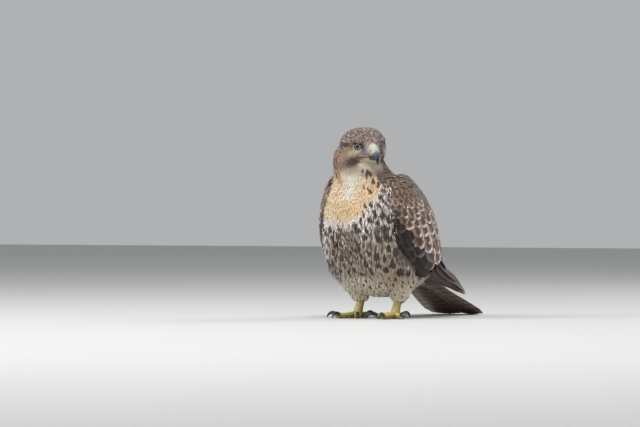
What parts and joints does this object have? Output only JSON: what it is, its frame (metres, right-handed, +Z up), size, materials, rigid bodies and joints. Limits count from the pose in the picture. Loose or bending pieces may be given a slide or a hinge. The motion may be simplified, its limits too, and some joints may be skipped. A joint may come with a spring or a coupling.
{
  "type": "red-tailed hawk model",
  "caption": "Life-size young red-tailed hawk, standing with folded wings and its head turned to its left.",
  "frame": {"origin": "on the floor, under the middle of the whole bird's box", "axes": "+Z up, the body faces -Y, the bird's left side is +X, the tail points to +Y"},
  "size_m": [0.1862, 0.337, 0.286],
  "materials": {
    "breast_feathers": "soft cream and buff feathers with dark drops and streaks",
    "brown_feathers": "brown feathers with rufous and white edges",
    "tail_feathers": "brown feathers with narrow dark bars and pale tips",
    "scaly_skin": "yellow scaly skin of legs and toes",
    "cere": "waxy pale yellow-green skin at the root of the bill",
    "bill": "smooth dark blue-grey horn",
    "claw": "smooth black horn",
    "eye": "wet, pale grey-yellow iris and black pupil"
  },
  "bodies": {
    "root": {"torso": "breast_feathers", "neck": "brown_feathers", "head": "brown_feathers", "tail": "tail_feathers", "wing_left": "brown_feathers", "wing_right": "brown_feathers", "thigh_left": "breast_feathers", "thigh_right": "breast_feathers", "foot_left": "scaly_skin", "foot_right": "scaly_skin", "eye_left": "eye", "eye_right": "eye", "bill_upper": "bill", "bill_lower": "bill", "cere": "cere", "claw_middle_left": "claw", "claw_inner_left": "claw", "claw_outer_left": "claw", "claw_hind_left": "claw", "claw_middle_right": "claw", "claw_inner_right": "claw", "claw_outer_right": "claw", "claw_hind_right": "claw"}
  },
  "joints": []
}
